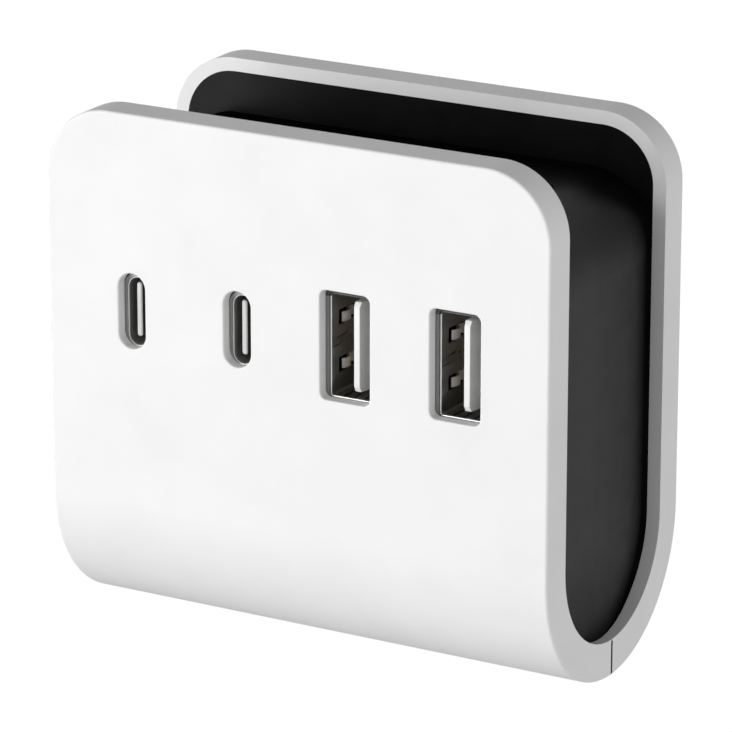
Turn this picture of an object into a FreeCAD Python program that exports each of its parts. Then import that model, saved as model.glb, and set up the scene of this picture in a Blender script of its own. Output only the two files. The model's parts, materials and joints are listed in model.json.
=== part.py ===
import FreeCAD, Part
import math
import os
import Sketcher
from FreeCAD import Placement, Rotation, Vector

# Four-port desk charging unit: a white U-shaped cover, lined in black, wrapped round a black core.
# The unit hangs under a desk top by two threaded inserts in the top of its core.
# +X runs along the unit from its USB-C ports to its USB-A ports, +Y to the back, +Z up.
# The origin is midway between the two inserts, in the core's top face. Millimetres throughout.

SHEET_ROWS = (
    # cover
    ("width", 67.2), ("depth", 33.6), ("height", 65.1), ("lip_rise", 6.8), ("wall", 4.6),
    ("skin", 1.4), ("rim", 1.7), ("panel_round", 8.4), ("edge_round", 0.35), ("opening_round", 0.2),
    ("peg_radius", 1.2), ("peg_length", 1.6), ("peg_side", 27.0), ("peg_upper", -5.0), ("peg_lower", -34.0),
    ("seam_gap", 0.2),
    # ports
    ("port_row_centre", -0.3), ("port_pitch", 14.5), ("port_level", -17.3), ("socket_drop", 0.38),
    ("mouth_depth", 1.5), ("board_front", -0.6), ("socket_clearance", 0.3), ("flange_thick", 0.8),
    ("wide_hole_x", 6.6), ("wide_hole_z", 13.3), ("wide_hole_round", 0.9),
    ("wide_flange_x", 6.9), ("wide_flange_z", 13.9), ("wide_tube_x", 5.7), ("wide_tube_z", 13.1),
    ("wide_mouth_x", 5.1), ("wide_mouth_z", 12.5), ("wide_lead_in", 0.4),
    ("wide_tongue_x", 1.3), ("wide_tongue_z", 10.9), ("wide_tongue_face", 0.1), ("wide_tongue_depth", 0.6),
    ("wide_tongue_bevel", 0.5), ("wide_contact_x", 0.2), ("wide_contact_z", 1.0),
    ("window_depth", 1.7), ("window_length", 3.9), ("window_half", 0.9), ("window_offset", 2.9),
    ("slim_hole_x", 3.7), ("slim_hole_z", 9.3), ("slim_flange_x", 3.9), ("slim_flange_z", 9.7),
    ("slim_tube_x", 3.2), ("slim_tube_z", 9.0), ("slim_mouth_x", 2.56), ("slim_mouth_z", 8.34),
    ("slim_lead_in", 0.3), ("slim_tongue_x", 0.7), ("slim_tongue_z", 6.7), ("slim_tongue_depth", 0.2),
    ("slim_contact_x", 0.12), ("slim_contact_z", 0.24), ("slim_contact_pitch", 0.5),
    # core
    ("core_wall", 1.8), ("core_roof", 2.2), ("opening_half", 26.0), ("core_round_front", 8.4),
    ("core_round_back", 6.7), ("crown_radius", 77.0), ("crown_back", -3.9), ("crown_low", -40.0),
    ("screw_boss", 2.5), ("boss_length", 6.0), ("screw_shank", 1.25), ("screw_head", 2.25),
    ("head_height", 1.6), ("counterbore", 2.5), ("counterbore_deep", 2.0),
    ("upper_screw_x", 7.25), ("upper_screw_z", -5.5), ("lower_screw_x", 22.0), ("lower_screw_z", -39.0),
    # fixing inserts and power inlet
    ("insert_spacing", 44.0), ("insert_radius", 2.8), ("insert_bore", 1.65), ("insert_length", 8.0),
    ("insert_boss", 4.2), ("inlet_back", 2.0), ("inlet_x", 17.2), ("inlet_y", 10.6), ("inlet_z", 10.5),
    ("cavity_x", 14.2), ("cavity_y", 7.6), ("cavity_z", 9.0), ("inlet_gap", 8.6), ("blade_radius", 1.18),
    # boards
    ("port_board_x", 54.6), ("port_board_thick", 1.2), ("port_board_top", -11.0), ("port_board_low", -24.9),
    ("power_board_front", 6.6), ("power_board_thick", 1.6), ("power_board_x", 55.0),
    ("power_board_top", -10.8), ("power_board_low", -46.5), ("board_hole_x", 23.5),
    ("board_hole_upper", -13.0), ("board_hole_lower", -39.0), ("board_screw", 1.0),
    ("spacer_x", 26.0), ("spacer_upper", -15.8), ("spacer_lower", -22.6), ("spacer_radius", 1.1),
    ("spacer_pin", 0.6),
)

doc = FreeCAD.newDocument("desk_charging_unit")
sheet = doc.addObject("Spreadsheet::Sheet", "Sheet")
for row, (alias, number) in enumerate(SHEET_ROWS, start=1):
    sheet.set(f"A{row}", alias)
    sheet.set(f"B{row}", str(number))
    sheet.setAlias(f"B{row}", alias)
doc.recompute()


class Dim:
    """A length: its value now, and the expression that keeps it tied to the sheet."""

    def __init__(self, value, text):
        self.value = value
        self.text = text

    def _with(self, other, sign, value):
        return Dim(value, f"({self.text} {sign} {dim(other).text})")

    def __add__(self, other):
        return self._with(other, "+", self.value + dim(other).value)

    def __sub__(self, other):
        return self._with(other, "-", self.value - dim(other).value)

    def __mul__(self, other):
        return self._with(other, "*", self.value * dim(other).value)

    def __truediv__(self, other):
        return self._with(other, "/", self.value / dim(other).value)

    def __rsub__(self, other):
        return dim(other) - self

    def __neg__(self):
        return Dim(-self.value, f"(0 - {self.text})")

    __radd__ = __add__
    __rmul__ = __mul__


def dim(length):
    return length if isinstance(length, Dim) else Dim(float(length), repr(float(length)))


def cell(alias):
    return Dim(float(sheet.get(alias)), f"Sheet.{alias}")


# ---------------------------------------------------------------- derived dimensions

half_width = cell("width") / 2
half_depth = cell("depth") / 2                       # also the outer radius of the bend
inner_radius = half_depth - cell("wall")
liner_radius = half_depth - cell("skin")
cavity_radius = inner_radius - cell("core_wall")
bend_level = cell("lip_rise") - cell("height") + half_depth
liner_top = cell("lip_rise") - cell("rim")
liner_half = half_width - cell("rim")
liner_round = cell("panel_round") - cell("rim")
roof_under = -cell("core_roof")
mouth_front = cell("mouth_depth") - half_depth
socket_level = cell("port_level") - cell("socket_drop")
board_back = cell("board_front") + cell("port_board_thick")
power_board_back = cell("power_board_front") + cell("power_board_thick")
insert_x = cell("insert_spacing") / 2
PORT_X = [cell("port_row_centre") + cell("port_pitch") * place for place in (-1.5, -0.5, 0.5, 1.5)]
SLIM_PORTS = PORT_X[:2]
WIDE_PORTS = PORT_X[2:]
SIDES = (-1, 1)

subparts = []


# ---------------------------------------------------------------- helpers

def name_part(thing, label):
    """Give a finished piece its own name and put it on the list of sub-parts."""
    thing.Label = label
    subparts.append(thing)
    return thing


def tie(thing, path, length):
    thing.setExpression(path, dim(length).text)


def move(thing, x, y, z):
    for letter, length in zip("xyz", (x, y, z)):
        tie(thing, f"Placement.Base.{letter}", length)


def block(name, low, size):
    box = doc.addObject("Part::Box", name)
    for prop, length in zip(("Length", "Width", "Height"), size):
        tie(box, prop, length)
    move(box, *low)
    return box


def centred_block(name, centre, size):
    return block(name, [dim(c) - dim(s) / 2 for c, s in zip(centre, size)], size)


AXES = {"x": Vector(1, 0, 0), "y": Vector(0, 1, 0), "z": Vector(0, 0, 1)}


def rod(name, start, axis, radius, length):
    cylinder = doc.addObject("Part::Cylinder", name)
    cylinder.Placement = Placement(Vector(), Rotation(Vector(0, 0, 1), AXES[axis]))
    tie(cylinder, "Radius", radius)
    tie(cylinder, "Height", length)
    move(cylinder, *start)
    return cylinder


def fuse(name, pieces):
    union = doc.addObject("Part::MultiFuse", name)
    union.Shapes = pieces
    return union


def group(name, pieces):
    compound = doc.addObject("Part::Compound", name)
    compound.Links = pieces
    return compound


def cut(name, base, tools):
    difference = doc.addObject("Part::Cut", name)
    difference.Base = base
    difference.Tool = tools[0] if len(tools) == 1 else fuse(f"{name}_tools", tools)
    return difference


def plane(body, role):
    return next(feature for feature in body.Origin.OriginFeatures if feature.Role == role)


def new_body(label):
    return name_part(doc.addObject("PartDesign::Body", label), label)


def hold(sketch, geometry, point, axis, length):
    """Fix one coordinate of a sketch point, measured from the sketch's origin."""
    length = dim(length)
    if abs(length.value) < 1e-9:
        sketch.addConstraint(Sketcher.Constraint("PointOnObject", geometry, point, -2 if axis == "X" else -1))
        return
    ends = (-1, 1, geometry, point) if length.value > 0 else (geometry, point, -1, 1)
    positive = length if length.value > 0 else -length
    index = sketch.addConstraint(Sketcher.Constraint(f"Distance{axis}", *ends, positive.value))
    sketch.setExpression(f"Constraints[{index}]", positive.text)


def outline(sketch, corners, arcs=()):
    """Draw a closed outline. arcs maps a corner's index to the (centre x, centre y, turn) of the
    arc that leads from it to the next corner; turn is 1 anticlockwise and -1 clockwise."""
    arcs = dict(arcs)
    edges = []
    points = [Vector(dim(x).value, dim(y).value, 0) for x, y in corners]
    for index, start in enumerate(points):
        end = points[(index + 1) % len(points)]
        if index not in arcs:
            edges.append((sketch.addGeometry(Part.LineSegment(start, end), False), 1, 2))
            continue
        centre_x, centre_y, turn = arcs[index]
        centre = Vector(dim(centre_x).value, dim(centre_y).value, 0)
        angles = [math.atan2(point.y - centre.y, point.x - centre.x) for point in (start, end)][::turn]
        circle = Part.Circle(centre, Vector(0, 0, 1), (start - centre).Length)
        edges.append((sketch.addGeometry(Part.ArcOfCircle(circle, *angles), False), *(1, 2)[::turn]))
    for index, (geometry, _, end_point) in enumerate(edges):
        next_geometry, next_start, _ = edges[(index + 1) % len(edges)]
        meeting = Sketcher.Constraint("Coincident", geometry, end_point, next_geometry, next_start)
        sketch.addConstraint(meeting)
    for index, (x, y) in enumerate(corners):
        geometry, start_point, _ = edges[index]
        before = (index - 1) % len(corners)
        across, up = True, True
        if before in arcs:
            away_x = abs(points[index].x - dim(arcs[before][0]).value)
            away_y = abs(points[index].y - dim(arcs[before][1]).value)
            across, up = away_x < away_y, away_x >= away_y
        if across:
            hold(sketch, geometry, start_point, "X", x)
        if up:
            hold(sketch, geometry, start_point, "Y", y)
        if index in arcs:
            hold(sketch, geometry, 3, "X", arcs[index][0])
            hold(sketch, geometry, 3, "Y", arcs[index][1])


def disc(sketch, centre_x, centre_y, radius):
    centre = Vector(dim(centre_x).value, dim(centre_y).value, 0)
    circle = sketch.addGeometry(Part.Circle(centre, Vector(0, 0, 1), dim(radius).value), False)
    hold(sketch, circle, 3, "X", centre_x)
    hold(sketch, circle, 3, "Y", centre_y)
    index = sketch.addConstraint(Sketcher.Constraint("Radius", circle, dim(radius).value))
    sketch.setExpression(f"Constraints[{index}]", dim(radius).text)


def rounded_rectangle(centre_x, centre_y, size_x, size_y, radius):
    """Corners and arcs of a rectangle with four equal round corners."""
    left, right = centre_x - size_x / 2, centre_x + size_x / 2
    low, high = centre_y - size_y / 2, centre_y + size_y / 2
    corners = [(left + radius, low), (right - radius, low), (right, low + radius), (right, high - radius),
               (right - radius, high), (left + radius, high), (left, high - radius), (left, low + radius)]
    arcs = {1: (right - radius, low + radius, 1), 3: (right - radius, high - radius, 1),
            5: (left + radius, high - radius, 1), 7: (left + radius, low + radius, 1)}
    return corners, arcs


def upright_slot(centre_x, centre_y, size_x, size_y):
    """Corners and arcs of a slot with full round ends, longer upwards than across."""
    left, right = centre_x - size_x / 2, centre_x + size_x / 2
    low, high = centre_y - size_y / 2 + size_x / 2, centre_y + size_y / 2 - size_x / 2
    corners = [(right, low), (right, high), (left, high), (left, low)]
    return corners, {1: (centre_x, high, 1), 3: (centre_x, low, 1)}


def section_sketch(body, name):
    """A sketch across the unit: sketch x is +Y and sketch y is +Z."""
    sketch = body.newObject("Sketcher::SketchObject", name)
    sketch.AttachmentSupport = [(plane(body, "YZ_Plane"), "")]
    sketch.MapMode = "FlatFace"
    return sketch


def front_sketch(body, name, level):
    """A sketch parallel to the front panel at y = level: sketch x is +X and sketch y is +Z."""
    sketch = body.newObject("Sketcher::SketchObject", name)
    sketch.AttachmentSupport = [(plane(body, "XZ_Plane"), "")]
    sketch.MapMode = "FlatFace"
    sketch.setExpression("AttachmentOffset.Base.z", (-dim(level)).text)
    return sketch


def extrude(body, kind, sketch, length, side="One side", backwards=False):
    feature = body.newObject(f"PartDesign::{kind}", f"{sketch.Name}_{kind.lower()}")
    feature.Profile = sketch
    feature.SideType = side
    feature.Reversed = backwards
    tie(feature, "Length", length)
    doc.recompute()
    return feature


def pad_back(body, sketch, length):
    return extrude(body, "Pad", sketch, length, backwards=True)


def pocket_back(body, sketch, length):
    before = body.Tip.Shape.Volume
    feature = extrude(body, "Pocket", sketch, length)
    if feature.Shape.Volume > before - 1e-6:
        raise RuntimeError(f"{feature.Name} cut nothing")
    return feature


def matching_edges(shape, test):
    return [f"Edge{index}" for index, edge in enumerate(shape.Edges, start=1) if test(edge)]


def soften(body, kind, amount, test):
    """Fillet or chamfer the tip's edges for which test is true."""
    base = body.Tip
    names = matching_edges(base.Shape, test)
    feature = body.newObject(f"PartDesign::{kind}", f"{base.Name}_{kind.lower()}")
    feature.Base = (base, names)
    tie(feature, "Radius" if kind == "Fillet" else "Size", amount)
    doc.recompute()
    return feature


def spans(edge, letter, low, high):
    """True when an edge's box along an axis runs from low to high."""
    box = edge.BoundBox
    return (abs(getattr(box, f"{letter}Min") - low) < 1e-4
            and abs(getattr(box, f"{letter}Max") - high) < 1e-4)


# ---------------------------------------------------------------- cover

def half_bend(outer, inner, top, side, seam=0):
    """Half of a U section on one side of the seam: side is -1 at the front and 1 at the back."""
    outer_y, inner_y, seam_y = outer * side, inner * side, dim(seam) * -side
    corners = [(outer_y, top), (outer_y, bend_level), (dim(0), bend_level - outer),
               (seam_y, bend_level - outer), (seam_y, bend_level - inner), (dim(0), bend_level - inner),
               (inner_y, bend_level), (inner_y, top)]
    arcs = {1: (0, bend_level, -side), 5: (0, bend_level, side)}
    if dim(seam).value == 0:
        corners = corners[:3] + corners[5:]
        arcs = {1: (0, bend_level, -side), 3: (0, bend_level, side)}
    return corners, arcs


def round_top_corners(body, radius, half, top):
    """Round the edges that run front to back at both top corners of a panel."""
    def at_corner(edge):
        box = edge.BoundBox
        return (box.XLength < 1e-4 and box.ZLength < 1e-4 and box.YLength > 0.5
                and abs(abs(box.XMin) - half.value) < 1e-3 and abs(box.ZMin - top.value) < 1e-3)
    soften(body, "Fillet", radius, at_corner)


def cut_port_holes(body, start, length, level, growth=0):
    """The four port openings, cut backwards from y = start; growth widens them all round."""
    wider = dim(growth) * 2
    for number, centre in enumerate(SLIM_PORTS, start=1):
        sketch = front_sketch(body, f"{body.Name}_slim_hole_{number}", start)
        outline(sketch, *upright_slot(centre, level, cell("slim_hole_x") + wider,
                                      cell("slim_hole_z") + wider))
        pocket_back(body, sketch, length)
    for number, centre in enumerate(WIDE_PORTS, start=1):
        sketch = front_sketch(body, f"{body.Name}_wide_hole_{number}", start)
        outline(sketch, *rounded_rectangle(centre, level, cell("wide_hole_x") + wider,
                                           cell("wide_hole_z") + wider, cell("wide_hole_round") + growth))
        pocket_back(body, sketch, length)


def round_port_opening(edge):
    """True for the edges round the port openings on the cover's front face."""
    above_row = abs(edge.BoundBox.Center.z - cell("port_level").value)
    return (spans(edge, "Y", -half_depth.value, -half_depth.value)
            and above_row < cell("wide_hole_z").value and abs(edge.BoundBox.Center.x) < liner_half.value)


def peg_centres():
    return [(cell("peg_side") * side, level) for side in SIDES
            for level in (cell("peg_upper"), cell("peg_lower"))]


def make_cover_shell(label, side):
    """One white half of the cover: a thin skin with a deeper rim round its edge."""
    body = new_body(label)
    section = section_sketch(body, f"{label}_section")
    outline(section, *half_bend(half_depth, inner_radius, cell("lip_rise"), side))
    extrude(body, "Pad", section, cell("width"), side="Symmetric")
    recess = section_sketch(body, f"{label}_recess")
    overrun = 0.5
    outline(recess, *half_bend(liner_radius, inner_radius - overrun, liner_top, side, seam=overrun))
    before = body.Tip.Shape.Volume
    extrude(body, "Pocket", recess, liner_half * 2, side="Symmetric")
    if body.Tip.Shape.Volume > before - 1:
        raise RuntimeError("the liner recess cut nothing")
    round_top_corners(body, liner_round, liner_half, liner_top)
    round_top_corners(body, cell("panel_round"), half_width, cell("lip_rise"))
    seam = section_sketch(body, f"{label}_seam")
    beyond = dim(-overrun * side)
    own = cell("seam_gap") / 2 * side
    low = bend_level - half_depth - overrun
    high = bend_level - inner_radius + overrun
    outline(seam, [(beyond, low), (own, low), (own, high), (beyond, high)])
    extrude(body, "Pocket", seam, cell("width") + overrun, side="Symmetric")
    if side < 0:
        cut_port_holes(body, -half_depth, cell("wall"), cell("port_level"))
        soften(body, "Fillet", cell("opening_round"), round_port_opening)
    outer_y = half_depth.value * side

    def on_outer_edge(edge):
        box = edge.BoundBox
        at_end = abs(abs(box.XMin) - half_width.value) < 1e-3 and box.XLength < 1e-3
        on_face = abs(box.YMin - outer_y) < 1e-3 and box.YLength < 1e-3
        round_bend = at_end and box.YLength > 10 and box.ZMin < bend_level.value - half_depth.value + 1e-3
        top_line = on_face and abs(box.ZMin - cell("lip_rise").value) < 1e-3 and box.XLength > 10
        side_line = on_face and at_end and box.ZLength > 10
        corner = (on_face and abs(box.XLength - cell("panel_round").value) < 1e-3
                  and box.ZMax > cell("lip_rise").value - 1e-3)
        return round_bend or top_line or side_line or corner

    soften(body, "Fillet", cell("edge_round"), on_outer_edge)
    start = liner_radius * side
    for number, (x, z) in enumerate(peg_centres(), start=1):
        sketch = front_sketch(body, f"{label}_peg_{number}", start)
        disc(sketch, x, z, cell("peg_radius"))
        extrude(body, "Pad", sketch, cell("peg_length"), backwards=side < 0)


def make_inner_liner():
    """The black U that both shells peg on to; its front wall closes the core."""
    body = new_body("inner_liner")
    section = section_sketch(body, "liner_section")
    corners = [(-liner_radius, liner_top), (-liner_radius, bend_level), (liner_radius, bend_level),
               (liner_radius, liner_top), (inner_radius, liner_top), (inner_radius, bend_level),
               (-inner_radius, bend_level), (-inner_radius, liner_top)]
    outline(section, corners, {1: (0, bend_level, 1), 5: (0, bend_level, -1)})
    extrude(body, "Pad", section, liner_half * 2, side="Symmetric")
    round_top_corners(body, liner_round, liner_half, liner_top)
    flange_room = (cell("wide_flange_z") - cell("wide_hole_z")) / 2 + cell("socket_clearance")
    cut_port_holes(body, -liner_radius, cell("wall"), socket_level, flange_room)
    for number, (x, z) in enumerate(screw_centres(), start=1):
        hole = front_sketch(body, f"liner_screw_hole_{number}", -liner_radius)
        disc(hole, x, z, cell("screw_shank") + 0.15)
        pocket_back(body, hole, cell("wall"))
        seat = front_sketch(body, f"liner_screw_seat_{number}", -liner_radius)
        disc(seat, x, z, cell("counterbore"))
        pocket_back(body, seat, cell("counterbore_deep"))
    for side in SIDES:
        for number, (x, z) in enumerate(peg_centres(), start=1):
            start = liner_radius if side > 0 else -liner_radius
            sketch = front_sketch(body, f"liner_peg_hole_{'back' if side > 0 else 'front'}_{number}", start)
            disc(sketch, x, z, cell("peg_radius"))
            extrude(body, "Pocket", sketch, cell("peg_length") + 0.2, backwards=side > 0)


# ---------------------------------------------------------------- core housing

def screw_centres():
    """The four screws that hold the core to the liner's front wall."""
    return [(cell(f"{row}_screw_x") * side, cell(f"{row}_screw_z"))
            for row in ("upper", "lower") for side in SIDES]


def make_pill(label, radius, top, half):
    """A solid that fills the U up to a level."""
    body = doc.addObject("PartDesign::Body", label)
    section = section_sketch(body, f"{label}_section")
    corners = [(-radius, top), (-radius, bend_level), (radius, bend_level), (radius, top)]
    outline(section, corners, {1: (0, bend_level, 1)})
    extrude(body, "Pad", section, half * 2, side="Symmetric")
    return body


def make_end_crown(side):
    """A block with one large ball for its outer corner, which crowns an end face towards back and bottom."""
    name = f"crown_{'left' if side < 0 else 'right'}"
    radius = cell("crown_radius")
    length = radius * 2 + half_width
    start = half_width - length if side > 0 else -half_width
    blank = block(f"{name}_blank", (start, -radius, cell("crown_low") - radius),
                  (length, cell("crown_back") + radius * 2, radius * 2))
    doc.recompute()
    end = half_width.value * side
    back = (cell("crown_back") + radius).value
    low = (cell("crown_low") - radius).value

    def meets_ball(edge):
        on_ball = [spans(edge, "X", end, end), spans(edge, "Y", back, back), spans(edge, "Z", low, low)]
        return sum(on_ball) == 2

    crown = doc.addObject("Part::Fillet", name)
    crown.Base = blank
    crown.Edges = [(index, radius.value, radius.value)
                   for index, edge in enumerate(blank.Shape.Edges, start=1) if meets_ball(edge)]
    return crown


def round_core_ends(block_with_crowns):
    """Round the top edge of both ends, more at the front than at the back."""
    doc.recompute()
    front, back = cell("core_round_front").value, cell("core_round_back").value
    edges = []
    for index, edge in enumerate(block_with_crowns.Shape.Edges, start=1):
        box = edge.BoundBox
        at_end = abs(box.XMin) > liner_half.value - 1e-3 and box.XLength < 5
        if not at_end or not spans(edge, "Z", 0, 0):
            continue
        crowned = box.XLength > 1e-3
        ends = [back if crowned and vertex.Point.y > cell("crown_back").value + 1.0 else front
                for vertex in (edge.firstVertex(True), edge.lastVertex(True))]
        edges.append((index, *ends))
    rounded = doc.addObject("Part::Fillet", "housing_rounded")
    rounded.Base = block_with_crowns
    rounded.Edges = edges
    doc.recompute()
    return rounded


def make_core_housing():
    hollow_half = half_width - cell("core_wall")
    hollow = make_pill("housing_hollow", cavity_radius, roof_under, hollow_half)
    soften(hollow, "Fillet", cell("panel_round") - cell("core_wall"),
           lambda edge: spans(edge, "X", -hollow_half.value, -hollow_half.value)
           or spans(edge, "X", hollow_half.value, hollow_half.value))
    forms = [make_pill("housing_block", inner_radius, dim(0), half_width)]
    forms += [make_end_crown(side) for side in SIDES]
    crowned = doc.addObject("Part::MultiCommon", "housing_crowned")
    crowned.Shapes = forms
    outside = round_core_ends(crowned)
    low = bend_level + cell("core_wall")
    opening_y = cell("wall") + cell("core_wall") + 1.0
    front_opening = block("housing_front_opening", (-cell("opening_half"), -half_depth, low),
                          (cell("opening_half") * 2, opening_y, roof_under - low))
    walls = cut("housing_walls", outside, [hollow, front_opening])
    bosses = []
    holes = []
    for number, (x, z) in enumerate(screw_centres(), start=1):
        start = (x, -inner_radius, z)
        bosses.append(rod(f"screw_boss_{number}", start, "y", cell("screw_boss"), cell("boss_length")))
        holes.append(rod(f"screw_bore_{number}", start, "y", cell("screw_shank"), cell("boss_length") - 0.5))
    for number, side in enumerate(SIDES, start=1):
        rib_x = cell("upper_screw_x") * side - cell("screw_boss")
        rib_z = roof_under - cell("upper_screw_z")
        bosses.append(block(f"boss_rib_{number}", (rib_x, -inner_radius, cell("upper_screw_z")),
                            (cell("screw_boss") * 2, cell("boss_length"), rib_z)))
        insert_depth = cell("insert_length") + 1.5
        bosses.append(rod(f"insert_boss_{number}", (insert_x * side, 0, -insert_depth), "z",
                          cell("insert_boss"), insert_depth + roof_under))
        holes.append(rod(f"insert_hole_{number}", (insert_x * side, 0, -insert_depth + 1.0), "z",
                         cell("insert_radius"), insert_depth))
        for level in ("upper", "lower"):
            place = (cell("board_hole_x") * side, power_board_back, cell(f"board_hole_{level}"))
            stand = cavity_radius - power_board_back
            bosses.append(rod(f"board_boss_{level}_{number}", place, "y", 2.4, stand))
            holes.append(rod(f"board_bore_{level}_{number}", place, "y", cell("board_screw"), stand + 0.8))
    holes.append(centred_block("inlet_opening", (0, cell("inlet_back"), 0),
                               (cell("inlet_x"), cell("inlet_y"), cell("inlet_z") * 2)))
    name_part(cut("housing_with_bosses", fuse("housing_bosses", [walls] + bosses), holes), "core_housing")


def make_housing_screws():
    """Four pan-head screws with a cross recess, driven from the front."""
    screws = []
    seat = cell("counterbore_deep") - liner_radius
    for number, (x, z) in enumerate(screw_centres(), start=1):
        shank_end = cell("boss_length") - inner_radius - 0.7
        head_front = seat - cell("head_height")
        solid = fuse(f"screw_{number}", [
            rod(f"screw_shank_{number}", (x, seat, z), "y", cell("screw_shank"), shank_end - seat),
            rod(f"screw_head_{number}", (x, head_front, z), "y", cell("screw_head"), cell("head_height"))])
        recess = [centred_block(f"screw_cross_{number}_{turn}", (x, head_front, z), size)
                  for turn, size in enumerate(((2.4, 2.0, 0.5), (0.5, 2.0, 2.4)))]
        screws.append(cut(f"screw_cut_{number}", solid, recess))
    name_part(group("screws", screws), "housing_screws")


def make_fixing_inserts():
    """Two brass inserts with a groove round the middle, for the screws that hold the unit up."""
    inserts = []
    for number, side in enumerate(SIDES, start=1):
        place = insert_x * side
        start = (place, 0, -cell("insert_length"))
        barrel = rod(f"insert_barrel_{number}", start, "z", cell("insert_radius"), cell("insert_length"))
        thread = rod(f"insert_thread_{number}", start, "z", cell("insert_bore"), cell("insert_length"))
        ring_start = (place, 0, -cell("insert_length") * 0.6)
        band = cut(f"insert_band_{number}",
                   rod(f"insert_ring_{number}", ring_start, "z", cell("insert_radius") + 0.2, 1.2),
                   [rod(f"insert_ring_core_{number}", ring_start, "z", cell("insert_radius") - 0.4, 1.2)])
        inserts.append(cut(f"insert_{number}", barrel, [thread, band]))
    name_part(group("inserts", inserts), "fixing_inserts")


# ---------------------------------------------------------------- power inlet

def make_power_inlet():
    """A two-pole inlet let into the core's roof, with its pins standing in a figure-of-eight socket."""
    level = cell("inlet_back")
    shell = centred_block("inlet_block", (0, level, -cell("inlet_z") / 2),
                          (cell("inlet_x"), cell("inlet_y"), cell("inlet_z")))
    lobe_radius = cell("cavity_y") / 2
    floor = -cell("cavity_z")
    socket = [rod(f"inlet_lobe_{number}", ((cell("cavity_x") / 2 - lobe_radius) * side, level, floor), "z",
                  lobe_radius, cell("cavity_z") + 1.0) for number, side in enumerate(SIDES, start=1)]
    waist = lobe_radius * 0.82
    socket.append(block("inlet_waist", (lobe_radius - cell("cavity_x") / 2, level - waist, floor),
                        (cell("cavity_x") - cell("cavity_y"), waist * 2, cell("cavity_z") + 1.0)))
    pins = []
    pin_holes = []
    for number, side in enumerate(SIDES, start=1):
        x = cell("inlet_gap") / 2 * side
        tail = 1.5
        length = cell("cavity_z") - 1.2
        pins.append(rod(f"inlet_pin_{number}", (x, level, -cell("inlet_z") - tail), "z", cell("blade_radius"),
                        length + cell("inlet_z") - cell("cavity_z") + tail))
        pin_holes.append(rod(f"inlet_pin_hole_{number}", (x, level, -cell("inlet_z") - tail), "z",
                             cell("blade_radius"), cell("inlet_z") - cell("cavity_z") + tail + 0.5))
    name_part(cut("inlet_cut", shell, socket + pin_holes), "power_inlet_body")
    name_part(group("inlet_pin_pair", pins), "power_inlet_pins")


def make_inlet_wire(label, side):
    """An insulated wire from an inlet pin down and back to the power board."""
    radius = 0.8
    bend = 2.0
    x = cell("inlet_gap").value / 2 * side
    y = cell("inlet_back").value
    top = -cell("inlet_z").value - 1.5
    corner = Vector(x, y, top - 0.3)
    low = Vector(x, y + bend, corner.z - bend)
    half_turn = math.pi / 4
    middle = Vector(x, y + bend * (1 - math.cos(half_turn)), corner.z - bend * math.sin(half_turn))
    end = Vector(x, cell("power_board_front").value, low.z)
    start = Vector(x, y, top)
    runs = (Part.LineSegment(start, corner), Part.Arc(corner, middle, low), Part.LineSegment(low, end))
    path = Part.Wire([run.toShape() for run in runs])
    ring = Part.Wire([Part.Circle(start, Vector(0, 0, 1), radius).toShape()])
    wire = doc.addObject("Part::Feature", label)
    wire.Shape = path.makePipeShell([ring], True, False)
    name_part(wire, label)


# ---------------------------------------------------------------- ports

def open_mouth(body, kind, centre, corners_and_arcs, length):
    """Cut a receptacle's mouth through its shell and break the mouth's front edge."""
    sketch = front_sketch(body, f"{body.Name}_mouth", mouth_front)
    outline(sketch, *corners_and_arcs)
    pocket_back(body, sketch, length)
    reach_x = cell(f"{kind}_mouth_x").value / 2 + 0.01
    reach_z = cell(f"{kind}_mouth_z").value / 2 + 0.01

    def round_mouth(edge):
        box = edge.BoundBox
        at_front = spans(edge, "Y", mouth_front.value, mouth_front.value)
        inside_x = max(abs(box.XMin - centre.value), abs(box.XMax - centre.value)) < reach_x
        inside_z = max(abs(box.ZMin - socket_level.value), abs(box.ZMax - socket_level.value)) < reach_z
        return at_front and inside_x and inside_z

    soften(body, "Chamfer", cell(f"{kind}_lead_in"), round_mouth)


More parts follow.
